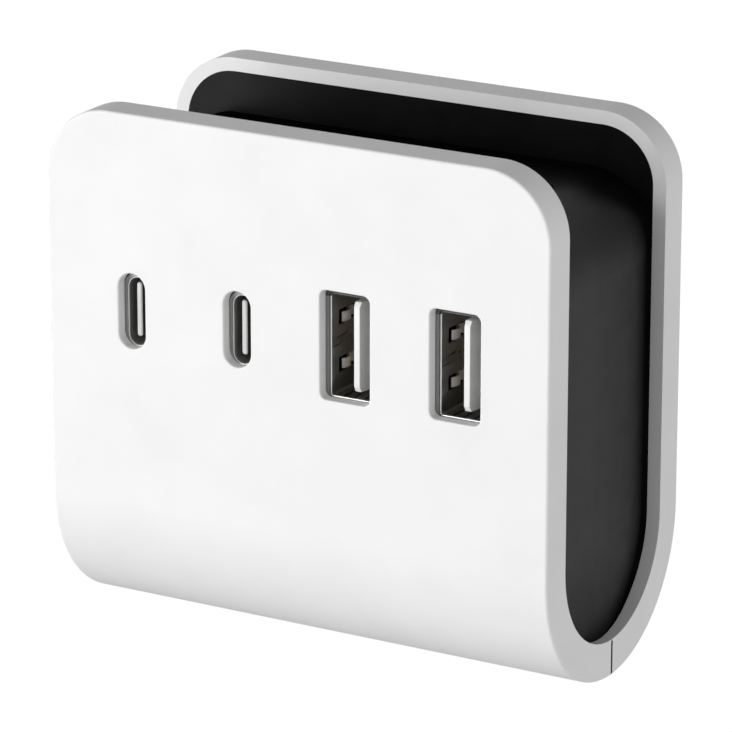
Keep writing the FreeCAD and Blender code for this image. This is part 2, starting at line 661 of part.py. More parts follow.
def make_wide_port(number, centre):
    """A USB-A receptacle on its side: flanged metal shell, tongue block and four contacts."""
    level = socket_level
    body = new_body(f"usb_a_port_{number}_shell")
    length = cell("board_front") - mouth_front
    flange = front_sketch(body, f"wide_flange_{number}", mouth_front)
    outline(flange, *rounded_rectangle(centre, level, cell("wide_flange_x"), cell("wide_flange_z"), dim(1.0)))
    pad_back(body, flange, cell("flange_thick"))
    tube = front_sketch(body, f"wide_tube_{number}", mouth_front)
    outline(tube, *rounded_rectangle(centre, level, cell("wide_tube_x"), cell("wide_tube_z"), dim(0.6)))
    pad_back(body, tube, length)
    mouth = rounded_rectangle(centre, level, cell("wide_mouth_x"), cell("wide_mouth_z"), dim(0.3))
    open_mouth(body, "wide", centre, mouth, length)
    windows = section_sketch(body, f"wide_windows_{number}")
    near = mouth_front + cell("window_depth")
    far = near + cell("window_length")
    for side in SIDES:
        low = level + cell("window_offset") * side - cell("window_half")
        high = low + cell("window_half") * 2
        outline(windows, [(near, low), (far, low), (far, high), (near, high)])
    windows.setExpression("AttachmentOffset.Base.z", centre.text)
    extrude(body, "Pocket", windows, cell("wide_tube_x") + 2.0, side="Symmetric")

    face = centre + cell("wide_tongue_face")
    back = mouth_front + 10.8
    tongue_front = mouth_front + cell("wide_tongue_depth")
    tongue_low = level - cell("wide_tongue_z") / 2
    contact_front = tongue_front + 1.0
    base = centred_block(f"wide_base_{number}", (centre, (back + cell("board_front")) / 2, level),
                         (cell("wide_mouth_x"), cell("board_front") - back, 11.8))
    tongue = block(f"wide_tongue_{number}", (face, tongue_front, tongue_low),
                   (cell("wide_tongue_x"), back - tongue_front, cell("wide_tongue_z")))
    contacts = []
    for place, offset in enumerate((-3.5, -1.0, 1.0, 3.5), start=1):
        contact_low = level + offset - cell("wide_contact_z") / 2
        contacts.append(block(f"wide_contact_{number}_{place}", (face - 0.05, contact_front, contact_low),
                              (cell("wide_contact_x"), cell("board_front") - contact_front,
                               cell("wide_contact_z"))))
    tip = doc.addObject("Part::Chamfer", f"wide_tip_{number}")
    tip.Base = tongue
    doc.recompute()
    bevel = cell("wide_tongue_bevel").value
    tip.Edges = [(index, bevel, bevel) for index, edge in enumerate(tongue.Shape.Edges, start=1)
                 if spans(edge, "Y", tongue_front.value, tongue_front.value)
                 and edge.BoundBox.XMax > face.value + 1.0]
    name_part(cut(f"wide_insulator_{number}", fuse(f"wide_moulding_{number}", [base, tip]), contacts),
              f"usb_a_port_{number}_tongue")
    name_part(group(f"wide_contacts_{number}", contacts), f"usb_a_port_{number}_contacts")


def make_slim_port(number, centre):
    """A USB-C receptacle on its side: seamless metal shell, central tongue and two rows of contacts."""
    level = socket_level
    body = new_body(f"usb_c_port_{number}_shell")
    length = cell("board_front") - mouth_front
    for part, reach in (("flange", cell("flange_thick")), ("tube", length)):
        sketch = front_sketch(body, f"slim_{part}_{number}", mouth_front)
        outline(sketch, *upright_slot(centre, level, cell(f"slim_{part}_x"), cell(f"slim_{part}_z")))
        pad_back(body, sketch, reach)
    mouth = upright_slot(centre, level, cell("slim_mouth_x"), cell("slim_mouth_z"))
    open_mouth(body, "slim", centre, mouth, length)

    back = mouth_front + 6.5
    tongue_front = mouth_front + cell("slim_tongue_depth")
    contact_front = tongue_front + 0.9
    base = centred_block(f"slim_base_{number}", (centre, (back + cell("board_front")) / 2, level),
                         (cell("slim_mouth_x") - 0.06, cell("board_front") - back, 5.7))
    tongue = centred_block(f"slim_tongue_{number}", (centre, (tongue_front + back) / 2, level),
                           (cell("slim_tongue_x"), back - tongue_front, cell("slim_tongue_z")))
    contact_size = (cell("slim_contact_x"), cell("board_front") - contact_front, cell("slim_contact_z"))
    contacts = []
    for side in SIDES:
        row = "left" if side < 0 else "right"
        contact_x = centre + cell("slim_tongue_x") / 2 * side - cell("slim_contact_x") / 2
        for place in range(12):
            middle = level + cell("slim_contact_pitch") * (place - 5.5)
            start = (contact_x, contact_front, middle - cell("slim_contact_z") / 2)
            contacts.append(block(f"slim_contact_{number}_{place}_{row}", start, contact_size))
    name_part(cut(f"slim_insulator_{number}", fuse(f"slim_moulding_{number}", [base, tongue]), contacts),
              f"usb_c_port_{number}_tongue")
    name_part(group(f"slim_contacts_{number}", contacts), f"usb_c_port_{number}_contacts")


# ---------------------------------------------------------------- boards and what stands on them

def make_boards():
    """The port board behind the receptacles and the power board on the housing's back wall."""
    def board(name, front):
        low = cell(f"{name}_low")
        return block(f"{name}_blank", (-cell(f"{name}_x") / 2, front, low),
                     (cell(f"{name}_x"), cell(f"{name}_thick"), cell(f"{name}_top") - low))

    port_board = board("port_board", cell("board_front"))
    power_board = board("power_board", cell("power_board_front"))
    gap = cell("power_board_front") - board_back
    reach = power_board_back - cell("board_front") + 2.0
    pin = cell("spacer_pin")
    port_holes = []
    power_holes = []
    spacers = []
    spacer_screws = []
    board_screws = []
    for side, level in [(side, level) for side in SIDES for level in ("upper", "lower")]:
        tag = f"{level}_{'left' if side < 0 else 'right'}"
        x = cell("spacer_x") * side
        z = cell(f"spacer_{level}")
        for name, holes in (("port", port_holes), ("power", power_holes)):
            holes.append(rod(f"{name}_spacer_hole_{tag}", (x, cell("board_front") - 1.0, z), "y", pin, reach))
        tube = rod(f"spacer_body_{tag}", (x, board_back, z), "y", cell("spacer_radius"), gap)
        bore = rod(f"spacer_bore_{tag}", (x, board_back, z), "y", pin, gap)
        spacers.append(cut(f"spacer_{tag}", tube, [bore]))
        spacer_screws.append(fuse(f"spacer_screw_{tag}", [
            rod(f"spacer_screw_head_{tag}", (x, cell("board_front") - 0.7, z), "y", 1.1, 0.7),
            rod(f"spacer_screw_shank_{tag}", (x, cell("board_front"), z), "y", pin, gap)]))
        x = cell("board_hole_x") * side
        z = cell(f"board_hole_{level}")
        shank = cell("board_screw")
        power_holes.append(rod(f"board_hole_{tag}", (x, cell("power_board_front") - 1.0, z), "y", shank, 4.0))
        board_screws.append(fuse(f"board_screw_{tag}", [
            rod(f"board_screw_head_{tag}", (x, cell("power_board_front") - 0.9, z), "y", 1.8, 0.9),
            rod(f"board_screw_shank_{tag}", (x, cell("power_board_front"), z), "y", shank,
                cell("power_board_thick") + 2.4)]))
    name_part(cut("port_board_cut", port_board, port_holes), "port_board")
    name_part(cut("power_board_cut", power_board, power_holes), "power_board")
    name_part(group("spacer_set", spacers), "board_spacers")
    name_part(group("spacer_screw_set", spacer_screws), "port_board_screws")
    name_part(group("board_screw_set", board_screws), "power_board_screws")


def make_board_header():
    """A block of pins that carries power from one board to the other."""
    gap = cell("power_board_front") - board_back
    header = centred_block("header_block", (0, board_back + gap / 2, -18.0), (3.0, gap, 9.6))
    name_part(header, "board_header")


def make_transformer():
    """A ferrite core with two windows, and a taped winding round its middle leg."""
    centre_z = dim(-32.6)
    core_back = cell("power_board_front") - 2.2
    core_y = dim(9.6)
    middle = (dim(0), core_back - core_y / 2, centre_z)
    frame = centred_block("transformer_frame", middle, (20.0, core_y, 14.0))
    windows = [centred_block(f"transformer_window_{number}", (dim(5.1) * side, middle[1], centre_z),
                             (4.2, core_y + 2.0, 9.4)) for number, side in enumerate(SIDES, start=1)]
    name_part(cut("transformer_core_cut", frame, windows), "transformer_core")
    coil_y = 14.0
    coil_centre = (0, cell("power_board_front") - coil_y / 2, centre_z)
    coil = centred_block("transformer_coil", coil_centre, (14.2, coil_y, 9.2))
    leg = centred_block("transformer_leg", middle, (6.0, core_y, 12.0))
    name_part(cut("transformer_winding_cut", coil, [leg]), "transformer_winding")


def make_capacitors():
    """Two bulk capacitors along the bend and two output capacitors standing on the power board."""
    bulk_radius = 4.4
    bulk_y = cell("power_board_front") - bulk_radius
    bulk = [rod(f"bulk_capacitor_{number}", (x, bulk_y, -45.4), "x", bulk_radius, 22.0)
            for number, x in enumerate((-24.5, 2.5), start=1)]
    name_part(group("bulk_capacitor_pair", bulk), "bulk_capacitors")
    can = 9.0
    output = [rod(f"output_capacitor_{number}", (-16.6, cell("power_board_front") - can, z), "y", 3.15, can)
              for number, z in enumerate((-29.2, -36.0), start=1)]
    name_part(group("output_capacitor_pair", output), "output_capacitors")
    name_part(centred_block("film_capacitor_box", (-18.6, cell("power_board_front") - 2.6, -17.6),
                            (5.0, 5.2, 9.0)), "film_capacitor")


def make_choke():
    """A ring core on edge, wound in two halves."""
    centre = (16.6, cell("power_board_front") - 3.4, -32.6)
    ring_radius = 5.0
    core_radius = 1.3
    coil_radius = 1.9

    def ring(name, radius, start=0.0, sweep=360.0):
        torus = doc.addObject("Part::Torus", name)
        torus.Radius1 = ring_radius
        torus.Radius2 = radius
        torus.Angle3 = sweep
        turn = Rotation(Vector(0, 0, 1), AXES["y"]).multiply(Rotation(Vector(0, 0, 1), start))
        torus.Placement = Placement(Vector(), turn)
        move(torus, *centre)
        return torus

    name_part(ring("choke_ring", core_radius), "choke_core")
    halves = [cut(f"choke_half_{number}", ring(f"choke_coil_{number}", coil_radius, start, 140.0),
                  [ring(f"choke_hollow_{number}", core_radius, start, 140.0)])
              for number, start in enumerate((20.0, 200.0), start=1)]
    name_part(group("choke_halves", halves), "choke_windings")


def make_fuse():
    """A glass tube between two metal caps."""
    x = 18.6
    y = cell("power_board_front") - 1.9
    top = -13.0
    length = 9.6
    cap = 2.0
    glass = rod("fuse_tube", (x, y, top - length + cap), "z", 1.5, length - 2 * cap)
    name_part(glass, "fuse_body")
    caps = [rod(f"fuse_cap_{name}", (x, y, level), "z", 1.7, cap)
            for name, level in (("low", top - length), ("high", top - cap))]
    name_part(group("fuse_cap_pair", caps), "fuse_caps")


def make_small_parts():
    """Surface parts: the rectifier, the port controllers, their inductors and the heat spreader."""
    bridge_centre = (-24.2, cell("power_board_front") - 1.5, -32.0)
    name_part(centred_block("rectifier_box", bridge_centre, (4.6, 3.0, 9.0)), "rectifier")
    chips = [centred_block(f"controller_{number}", (5.4 * side, board_back + 0.45, -20.0), (5.0, 0.9, 5.0))
             for number, side in enumerate(SIDES, start=1)]
    name_part(group("controllers", chips), "port_controllers")
    coil_places = [(11.6 * side, board_back + 1.5, z) for side in SIDES for z in (-15.2, -20.8)]
    coils = [centred_block(f"inductor_{number}", place, (4.4, 3.0, 4.4))
             for number, place in enumerate(coil_places, start=1)]
    name_part(group("inductors", coils), "port_inductors")
    spreader_x = 34.0
    sheet_thick = 1.0
    plate_low = -39.8
    front = cell("power_board_front") - 15.0
    plate = block("spreader_plate", (-spreader_x / 2, front, plate_low), (spreader_x, sheet_thick, 14.0))
    flange = block("spreader_flange", (-spreader_x / 2, front, plate_low - sheet_thick),
                   (spreader_x, 6.0, sheet_thick))
    name_part(fuse("spreader", [plate, flange]), "heat_spreader")


# ---------------------------------------------------------------- build, check and write

make_cover_shell("front_shell", -1)
make_cover_shell("rear_shell", 1)
make_inner_liner()
make_core_housing()
make_housing_screws()
make_fixing_inserts()
make_power_inlet()
make_inlet_wire("live_wire", -1)
make_inlet_wire("neutral_wire", 1)
for number, centre in enumerate(SLIM_PORTS, start=1):
    make_slim_port(number, centre)
for number, centre in enumerate(WIDE_PORTS, start=1):
    make_wide_port(number, centre)
make_boards()
make_board_header()
make_transformer()
make_capacitors()
make_choke()
make_fuse()
make_small_parts()
doc.recompute()

for thing in doc.Objects:
    if "Invalid" in thing.State or "Error" in thing.State:
        raise RuntimeError(f"{thing.Name} failed: {thing.State}")

os.makedirs("parts", exist_ok=True)
for part in subparts:
    shape = part.Shape
    if shape.isNull() or not shape.isValid() or not shape.Solids:
        raise RuntimeError(f"{part.Label} has no valid solid")
    shape.exportStep(f"parts/{part.Label}.step")
    print(f"{part.Label}: {len(shape.Solids)} solids, {shape.Volume:.1f} mm3")
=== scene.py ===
import json
import math

import bmesh
import bpy
from mathutils import Matrix, Vector


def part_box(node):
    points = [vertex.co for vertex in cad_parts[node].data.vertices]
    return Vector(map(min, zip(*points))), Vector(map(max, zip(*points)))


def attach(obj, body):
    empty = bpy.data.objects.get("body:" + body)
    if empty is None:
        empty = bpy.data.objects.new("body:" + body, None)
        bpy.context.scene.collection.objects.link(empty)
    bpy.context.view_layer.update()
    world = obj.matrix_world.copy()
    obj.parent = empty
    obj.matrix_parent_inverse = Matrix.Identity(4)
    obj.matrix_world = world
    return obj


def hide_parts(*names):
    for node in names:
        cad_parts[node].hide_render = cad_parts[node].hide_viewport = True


# Four-port desk charging unit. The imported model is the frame; this script dresses it. Metres, same axes.

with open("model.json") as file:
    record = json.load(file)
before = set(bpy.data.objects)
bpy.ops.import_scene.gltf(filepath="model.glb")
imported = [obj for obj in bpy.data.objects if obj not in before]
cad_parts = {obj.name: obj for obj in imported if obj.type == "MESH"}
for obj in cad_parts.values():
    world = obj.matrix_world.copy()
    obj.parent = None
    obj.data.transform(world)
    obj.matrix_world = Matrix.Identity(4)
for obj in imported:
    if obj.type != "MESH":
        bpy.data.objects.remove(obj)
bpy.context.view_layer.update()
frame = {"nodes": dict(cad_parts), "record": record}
MM = 0.001


# ---------------------------------------------------------------- materials

class Look:
    """A procedural material: its nodes, and short ways to add and join them."""

    def __init__(self, name):
        self.material = bpy.data.materials.new(name)
        self.material.use_nodes = True
        self.tree = self.material.node_tree
        self.shader = self.tree.nodes["Principled BSDF"]
        self.place = self.add("ShaderNodeTexCoord").outputs["Object"]

    def add(self, kind, **settings):
        node = self.tree.nodes.new(kind)
        for key, value in settings.items():
            setattr(node, key, value)
        return node

    def join(self, source, target):
        self.tree.links.new(source, target)

    def set(self, **values):
        for key, value in values.items():
            self.shader.inputs[key.replace("_", " ")].default_value = value

    def axes(self):
        """The X, Y and Z of the point that is shaded, in the shared frame and in metres."""
        parts = self.add("ShaderNodeSeparateXYZ")
        self.join(self.place, parts.inputs["Vector"])
        return parts.outputs

    def stretched(self, scale):
        mapping = self.add("ShaderNodeMapping")
        mapping.inputs["Scale"].default_value = scale
        self.join(self.place, mapping.inputs["Vector"])
        return mapping.outputs["Vector"]

    def noise(self, size, detail=3.0, stretch=None):
        """Noise whose features are about size metres across."""
        node = self.add("ShaderNodeTexNoise")
        node.inputs["Scale"].default_value = 1.0 / size
        node.inputs["Detail"].default_value = detail
        self.join(self.stretched(stretch) if stretch else self.place, node.inputs["Vector"])
        return node.outputs["Fac"]

    def spread(self, value, low, high, start=0.3, end=0.7):
        """A value that runs from low to high while the given one runs from start to end."""
        node = self.add("ShaderNodeMapRange")
        for key, number in (("From Min", start), ("From Max", end), ("To Min", low), ("To Max", high)):
            node.inputs[key].default_value = number
        self.join(value, node.inputs["Value"])
        return node.outputs["Result"]

    def tint(self, value, dark, light, start=0.35, end=0.65):
        """Colour by value, from dark at start to light at end. It returns the stops, so more can be added."""
        ramp = self.add("ShaderNodeValToRGB")
        stops = ramp.color_ramp.elements
        stops[0].position = start
        stops[1].position = end
        stops[0].color = (*dark, 1.0)
        stops[1].color = (*light, 1.0)
        self.join(value, ramp.inputs["Fac"])
        self.join(ramp.outputs["Color"], self.shader.inputs["Base Color"])
        return stops

    def combined(self, first, second, operation="ADD"):
        """Two values added, or otherwise combined, and held between 0 and 1."""
        node = self.add("ShaderNodeMath", operation=operation, use_clamp=True)
        self.join(first, node.inputs[0])
        self.join(second, node.inputs[1])
        return node.outputs["Value"]

    def bump(self, layers):
        """Bump from (height socket, depth in metres) pairs, one on top of another."""
        below = None
        for height, depth in layers:
            node = self.add("ShaderNodeBump")
            node.inputs["Strength"].default_value = 1.0
            node.inputs["Distance"].default_value = depth
            self.join(height, node.inputs["Height"])
            if below:
                self.join(below, node.inputs["Normal"])
            below = node.outputs["Normal"]
        self.join(below, self.shader.inputs["Normal"])


def grey(level):
    return (level, level, level)


def moulded(name, dark, light, roughness, depth=0.004 * MM, specular=0.5, sheen=None, tint=Look.tint):
    """Injection-moulded plastic: eroded grain, faint flow clouds and uneven sheen.
    sheen and tint are for a part whose reflection or colour changes from place to place; the core's sheen is
    a painted shade."""
    look = Look(name)
    unevenness = 0.04
    clouds = look.noise(9 * MM, detail=4.0)
    ripples = look.noise(6 * MM, detail=1.0)
    patches = look.noise(2.5 * MM, detail=5.0)
    grain = look.noise(0.12 * MM, detail=2.0)
    tint(look, clouds, dark, light)
    look.join(look.spread(patches, roughness - unevenness, roughness + unevenness),
              look.shader.inputs["Roughness"])
    look.bump([(ripples, depth), (grain, depth)])
    if sheen:
        look.join(sheen(look), look.shader.inputs["Specular IOR Level"])
    else:
        look.set(Specular_IOR_Level=specular)
    return look.material


def tint_seam(look, clouds, dark, light):
    """The usual tint, with a shadowed line along the cover's seam, under the middle of the bend."""
    front, back, edge = -0.13 * MM, 0.24 * MM, 0.06 * MM
    top, top_edge = -53.8 * MM, 0.2 * MM
    shadow, shadow_stop, plain_stop = grey(0.05), 0.2, 0.3
    axes = look.axes()
    beside = look.combined(look.spread(axes["Y"], 1.0, 0.0, front - edge, front),
                           look.spread(axes["Y"], 0.0, 1.0, back, back + edge))
    clear = look.combined(beside, look.spread(axes["Z"], 0.0, 1.0, top - top_edge, top))
    plain = look.spread(clouds, plain_stop, 1.0, 0.35, 0.65)
    stops = look.tint(look.combined(plain, clear, "MULTIPLY"), dark, light, plain_stop, 1.0)
    stops.new(shadow_stop).color = (*shadow, 1.0)


def core_painted_shade(look):
    """A painted shade on the core: its reflection is strongest at the front and fades towards the back and
    down into the bottom bend.
    """
    strongest, falloff = 0.53, 1.6
    front, bend, reach, limit = -6.0 * MM, -39.7 * MM, 16.0 * MM, 20.0 * MM
    axes = look.axes()
    away = look.add("ShaderNodeCombineXYZ")
    look.join(look.spread(axes["Y"], 0.0, limit, front, front + limit), away.inputs["Y"])
    look.join(look.spread(axes["Z"], limit, 0.0, bend - limit, bend), away.inputs["Z"])
    distance = look.add("ShaderNodeVectorMath", operation="LENGTH")
    look.join(away.outputs["Vector"], distance.inputs[0])
    fade = look.add("ShaderNodeMath", operation="POWER")
    fade.inputs[1].default_value = falloff
    look.join(look.spread(distance.outputs["Value"], 1.0, 0.0, 0.0, reach), fade.inputs[0])
    return look.spread(fade.outputs["Value"], 0.0, strongest, 0.0, 1.0)


ALONG_X, ALONG_Y, ALONG_Z = (0.05, 1.0, 1.0), (1.0, 0.06, 1.0), (1.0, 1.0, 0.1)
DRAWN_LINE, PLATING_PATCH = 0.09 * MM, 1.6 * MM


def metal(name, dark, light, roughness, stretch=ALONG_Y, line=DRAWN_LINE, depth=0.002 * MM, metallic=1.0):
    """Plated or brushed metal: fine drawn lines and patchy sheen."""
    look = Look(name)
    unevenness = 0.08
    lines = look.noise(line, stretch=stretch)
    patches = look.noise(PLATING_PATCH, detail=4.0)
    look.tint(patches, dark, light)
    look.join(look.spread(lines, roughness - unevenness, roughness + unevenness),
              look.shader.inputs["Roughness"])
    look.bump([(patches, depth), (lines, depth)])
    look.set(Metallic=metallic)
    return look.material


def speckled(name, dark, light, roughness, size, coat=0.0):
    """Coated or sintered parts: boards, ferrite, sleeves and tape."""
    look = Look(name)
    unevenness, relief = 0.05, 0.01 * MM
    specks = look.noise(size, detail=5.0)
    look.tint(specks, dark, light)
    look.join(look.spread(specks, roughness - unevenness, roughness + unevenness),
              look.shader.inputs["Roughness"])
    look.bump([(specks, relief)])
    look.set(Coat_Weight=coat)
    return look.material


def fuse_glass():
    """Clear glass with a trace of green."""
    look = Look("fuse_glass")
    look.tint(look.noise(3 * MM), (0.80, 0.84, 0.82), (0.88, 0.91, 0.90))
    look.join(look.spread(look.noise(2 * MM), 0.02, 0.08), look.shader.inputs["Roughness"])
    look.set(Transmission_Weight=1.0, IOR=1.5)
    return look.material


def port_metal(name, metallic):
    """Nickel-plated sheet, coloured by depth: darker on the flange, a painted highlight along the lip, mid
    grey inside the receptacle.
    """
    look = Look(name)
    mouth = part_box("usb_a_port_1_shell")[0][1]
    front, back = mouth - 0.06 * MM, mouth + 0.44 * MM
    # The light lip colours are a painted highlight; the flange is darker and the inside mid grey.
    flange, lip, lip_end, inside = grey(0.34), (0.85, 0.85, 0.84), (0.80, 0.80, 0.79), (0.46, 0.46, 0.445)
    patches = look.noise(PLATING_PATCH, detail=4.0)
    lines = look.noise(DRAWN_LINE, stretch=ALONG_Y)
    depth = look.spread(look.axes()["Y"], 0.0, 1.0, front, back)
    stops = look.tint(look.combined(depth, look.spread(patches, 0.0, 0.03)), flange, inside, 0.0, 1.0)
    for position, colour in ((0.07, flange), (0.10, lip), (0.34, lip_end), (0.42, inside)):
        stops.new(position).color = (*colour, 1.0)
    look.join(look.spread(lines, 0.28, 0.34), look.shader.inputs["Roughness"])
    look.bump([(patches, 0.001 * MM), (lines, 0.0004 * MM)])
    look.set(Metallic=metallic)
    return look.material


def pressed_metal(name, dark, light, roughness, metallic):
    """Small sheet parts inside the receptacles, almost smooth."""
    return metal(name, dark, light, roughness, depth=0.0005 * MM, metallic=metallic)


SLIM_METAL = port_metal("slim_port_metal", 0.5)
SHADED_LIP = pressed_metal("shaded_lip", grey(0.10), grey(0.14), 0.35, 0.5)
SPRING_METAL = pressed_metal("spring_metal", (0.66, 0.66, 0.64), (0.76, 0.76, 0.73), 0.40, 0.35)
GILT_SPRING = pressed_metal("gilt_spring", (0.86, 0.83, 0.50), (0.94, 0.91, 0.62), 0.40, 0.35)

LOOKS = {
    "white_cover": moulded("white_cover", grey(0.875), grey(0.90), 0.48, tint=tint_seam),
    "black_liner": moulded("black_liner", grey(0.0030), grey(0.0045), 0.38, specular=0.12),
    # The black core's reflection fades towards the back and the bend: a painted shade.
    "black_core": moulded("black_core", grey(0.0025), grey(0.0040), 0.32, sheen=core_painted_shade),
    "screw_steel": metal("screw_steel", (0.48, 0.48, 0.49), (0.58, 0.58, 0.59), 0.32),
    "insert_brass": metal("insert_brass", (0.62, 0.44, 0.18), (0.72, 0.54, 0.25), 0.28, stretch=ALONG_Z),
    "inlet_plastic": moulded("inlet_plastic", (0.014, 0.014, 0.015), (0.020, 0.020, 0.021), 0.40),
    "pin_metal": metal("pin_metal", (0.62, 0.61, 0.59), (0.70, 0.69, 0.67), 0.20, stretch=ALONG_Z),
    "wire_brown": moulded("wire_brown", (0.14, 0.06, 0.025), (0.17, 0.075, 0.03), 0.42),
    "wire_blue": moulded("wire_blue", (0.02, 0.08, 0.34), (0.03, 0.10, 0.40), 0.42),
    "port_metal": port_metal("port_metal", 1.0),
    "tongue_white": moulded("tongue_white", (0.91, 0.91, 0.90), (0.94, 0.94, 0.93), 0.42, depth=0.002 * MM),
    "tongue_grey": moulded("tongue_grey", grey(0.70), grey(0.76), 0.40, depth=0.002 * MM),
    "contact_gold": metal("contact_gold", (0.78, 0.52, 0.18), (0.90, 0.64, 0.26), 0.22),
    "board_green": speckled("board_green", (0.010, 0.09, 0.035), (0.016, 0.13, 0.05), 0.35, 0.7 * MM,
                            coat=0.6),
    "header_black": moulded("header_black", grey(0.018), grey(0.026), 0.45),
    "ferrite": speckled("ferrite", (0.028, 0.028, 0.031), (0.055, 0.055, 0.06), 0.62, 0.3 * MM),
    "winding_tape": speckled("winding_tape", (0.62, 0.42, 0.05), (0.72, 0.50, 0.07), 0.30, 2.0 * MM,
                             coat=0.3),
    "capacitor_sleeve": speckled("capacitor_sleeve", (0.012, 0.015, 0.03), (0.02, 0.025, 0.045), 0.28,
                                 2.4 * MM, coat=0.4),
    "film_case": speckled("film_case", (0.52, 0.36, 0.03), (0.60, 0.42, 0.05), 0.25, 1.5 * MM, coat=0.3),
    "choke_ferrite": speckled("choke_ferrite", (0.02, 0.12, 0.05), (0.03, 0.16, 0.07), 0.40, 0.5 * MM),
    "copper": metal("copper", (0.62, 0.24, 0.10), (0.74, 0.32, 0.15), 0.25, stretch=(0.2, 1.0, 1.0),
                    line=0.4 * MM, depth=0.05 * MM),
    "fuse_glass": fuse_glass(),
    "fuse_metal": metal("fuse_metal", grey(0.60), grey(0.70), 0.22),
    "chip_black": speckled("chip_black", (0.014, 0.014, 0.015), (0.024, 0.024, 0.025), 0.55, 0.12 * MM),
    "inductor_grey": speckled("inductor_grey", (0.05, 0.05, 0.052), (0.085, 0.085, 0.088), 0.60, 0.2 * MM),
    "spreader_metal": metal("spreader_metal", (0.60, 0.60, 0.61), (0.70, 0.70, 0.71), 0.38, stretch=ALONG_X),
}

node_slot = {part["node"]: part["material_slot"] for part in frame["record"]["subparts"]}
for node, slot in node_slot.items():
    materials = frame["nodes"][node].data.materials
    materials.clear()
    materials.append(LOOKS[slot])


# ---------------------------------------------------------------- mesh helpers

def rounded_loop(half_x, half_z, radius, steps=7):
    """Points (x, z) of an upright rounded rectangle."""
    points = []
    for quarter, (side_x, side_z) in enumerate(((1, 1), (-1, 1), (-1, -1), (1, -1))):
        for step in range(steps + 1):
            turn = math.radians(90 * (quarter + step / steps))
            points.append((side_x * (half_x - radius) + radius * math.cos(turn),
                           side_z * (half_z - radius) + radius * math.sin(turn)))
    return points


def bridge(shape, rings, closed=False):
    """Join rings of vertices in turn with quads."""
    pairs = zip(rings, rings[1:] + rings[:1]) if closed else zip(rings, rings[1:])
    for here, after in pairs:
        for index in range(len(here)):
            ahead = (index + 1) % len(here)
            shape.faces.new((here[index], here[ahead], after[ahead], after[index]))


def sweep(half_x, half_z, radius, profile, low_profile):
    """A tube of bent sheet. Each profile is a closed run of (growth, depth) points round its wall, and the
    second one takes over towards the bottom."""
    shape = bmesh.new()
    corners = rounded_loop(half_x, half_z, radius)
    grown = rounded_loop(half_x + 1.0, half_z + 1.0, radius + 1.0)
    rings = []
    for (growth, depth), (low_growth, low_depth) in zip(profile, low_profile):
        ring = []
        for (x, z), (away_x, away_z) in zip(corners, grown):
            share = max(0.0, z - away_z) ** 2
            reach = growth + (low_growth - growth) * share
            ring.append(shape.verts.new((x + (away_x - x) * reach, depth + (low_depth - depth) * share,
                                         z + (away_z - z) * reach)))
        rings.append(ring)
    bridge(shape, rings, closed=True)
    bmesh.ops.remove_doubles(shape, verts=shape.verts, dist=1e-4)
    return shape


def loft(sections):
    """A solid through rounded loops, each (half x, half z, radius, depth, centre x), with its ends capped."""
    shape = bmesh.new()
    rings = []
    for half_x, half_z, radius, depth, middle in sections:
        corners = rounded_loop(half_x, half_z, radius, steps=3)
        rings.append([shape.verts.new((middle + x, depth, z)) for x, z in corners])
    bridge(shape, rings)
    shape.faces.new(rings[0])
    shape.faces.new(rings[-1])
    return shape


def strip(path, thickness, low, high):
    """A bent strip of sheet: path is a run of (x, depth) points, and it stands from z low to z high."""
    shape = bmesh.new()
    rows = []
    for index, (x, depth) in enumerate(path):
        before, after = Vector(path[max(index - 1, 0)]), Vector(path[min(index + 1, len(path) - 1)])
        along = (after - before).normalized()
        away = Vector((along.y, -along.x)) * thickness / 2
        rows.append([shape.verts.new((x + away.x * side, depth + away.y * side, z))
                     for side, z in ((1, low), (1, high), (-1, high), (-1, low))])
    bridge(shape, rows)
    shape.faces.new(rows[0])
    shape.faces.new(rows[-1])
    return shape


def boxes(blocks):
    """Plain boxes for cutting: each is (centre, size, tilt about x in degrees)."""
    shape = bmesh.new()
    for centre, size, tilt in blocks:
        turn = Matrix.Rotation(math.radians(tilt), 4, "X")
        place = Matrix.Translation(centre) @ turn @ Matrix.Diagonal((*size, 1.0))
        bmesh.ops.create_cube(shape, size=1.0, matrix=place)
    return shape


def round_ring(shape, radius, level, sides, dent=0.0):
    """A level ring of vertices about the z axis. Every other one stands in by dent."""
    ring = []
    for step in range(sides):
        turn = math.tau * step / sides
        reach = radius - dent * (step % 2)
        ring.append(shape.verts.new((reach * math.cos(turn), reach * math.sin(turn), level)))
    return ring


def as_object(name, shape):
    """Turn a finished shape into a thing of its own in the scene."""
    bmesh.ops.recalc_face_normals(shape, faces=shape.faces)
    mesh = bpy.data.meshes.new(name)
    shape.to_mesh(mesh)
    shape.free()
    thing = bpy.data.objects.new(name, mesh)
    bpy.context.scene.collection.objects.link(thing)
    return thing


def settle(thing):
    """Apply a thing's modifiers to its mesh."""
    bpy.context.view_layer.update()
    evaluated = thing.evaluated_get(bpy.context.evaluated_depsgraph_get())
    mesh = bpy.data.meshes.new_from_object(evaluated)
    thing.modifiers.clear()
    thing.data = mesh


def carve(thing, blocks):
    """Cut plain boxes out of a thing."""
    cutter = as_object(f"{thing.name}_cutter", boxes(blocks))
    step = thing.modifiers.new("carve", "BOOLEAN")
    step.object = cutter
    step.solver = "EXACT"
    step.use_self = True
    settle(thing)
    bpy.data.objects.remove(cutter)


def soften(thing, width, segments=2, angle=40.0):
    """Round every edge that turns by more than angle degrees."""
    step = thing.modifiers.new("soften", "BEVEL")
    step.width = width
    step.segments = segments
    step.limit_method = "ANGLE"
    step.angle_limit = math.radians(angle)
    settle(thing)


def paint(thing, first, second, chosen):
    """Give a thing two materials. The faces that chosen picks by their centre take the second."""
    thing.data.materials.append(first)
    thing.data.materials.append(second)
    for face in thing.data.polygons:
        face.material_index = int(chosen(face.center))


